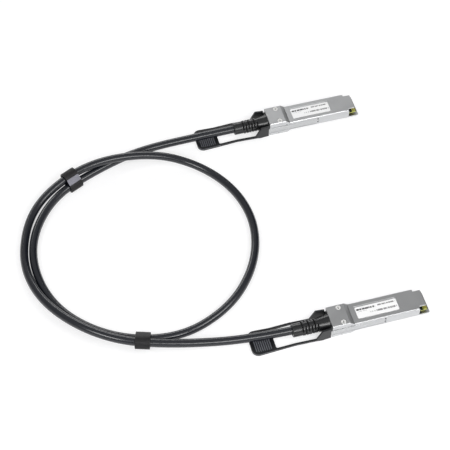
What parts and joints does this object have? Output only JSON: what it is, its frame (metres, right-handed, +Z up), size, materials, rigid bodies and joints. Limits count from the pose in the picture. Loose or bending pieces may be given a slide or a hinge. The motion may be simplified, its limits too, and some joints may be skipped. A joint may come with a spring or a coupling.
{
  "type": "direct attach copper cable",
  "caption": "Direct attach copper cable: a die-cast pluggable connector with boot and sprung pull tab at each end of a round black cable, coiled and tied.",
  "frame": {"origin": "on the surface the plugs lie on, midway between them", "axes": "+X along both plugs towards their noses, +Y from plug B to plug A, +Z up"},
  "size_m": [0.2979, 0.222, 0.0138],
  "materials": {
    "die_cast": "satin nickel plate on die-cast zinc",
    "steel": "bright spring steel",
    "screws": "satin",
    "card": "satin solder mask",
    "gold": "gold plate",
    "chip": "matte",
    "pairs": "foil wrap",
    "label": "matte paper",
    "boot": "matte",
    "tab": "matte",
    "jacket": "satin",
    "tie": "matte"
  },
  "bodies": {
    "cable_and_plugs": {"cable": "jacket", "tie_1": "tie", "tie_2": "tie", "top_shell_a": "die_cast", "bottom_shell_a": "die_cast", "paddle_card_a": "card", "contact_pads_a": "gold", "memory_chip_a": "chip", "crimp_ferrule_a": "steel", "twinax_pairs_a": "pairs", "cover_screws_a": "screws", "label_a": "label", "boot_a": "boot", "return_spring_left_a": "steel", "return_spring_right_a": "steel", "top_shell_b": "die_cast", "bottom_shell_b": "die_cast", "paddle_card_b": "card", "contact_pads_b": "gold", "memory_chip_b": "chip", "crimp_ferrule_b": "steel", "twinax_pairs_b": "pairs", "cover_screws_b": "screws", "label_b": "label", "boot_b": "boot", "return_spring_left_b": "steel", "return_spring_right_b": "steel"},
    "latch_a": {"pull_tab_a": "tab", "latch_arm_left_a": "steel", "latch_arm_right_a": "steel"},
    "latch_b": {"pull_tab_b": "tab", "latch_arm_left_b": "steel", "latch_arm_right_b": "steel"}
  },
  "joints": [
    {"name": "pull_release_a", "type": "slide", "parent": "cable_and_plugs", "child": "latch_a", "axis": [-1, 0, 0], "range_m": [0, 0.003], "stiffness_N_per_m": 600, "springref_m": -0.002, "deforming": ["return_spring_left_a", "return_spring_right_a"]},
    {"name": "pull_release_b", "type": "slide", "parent": "cable_and_plugs", "child": "latch_b", "axis": [-1, 0, 0], "range_m": [0, 0.003], "stiffness_N_per_m": 600, "springref_m": -0.002, "deforming": ["return_spring_left_b", "return_spring_right_b"]}
  ]
}
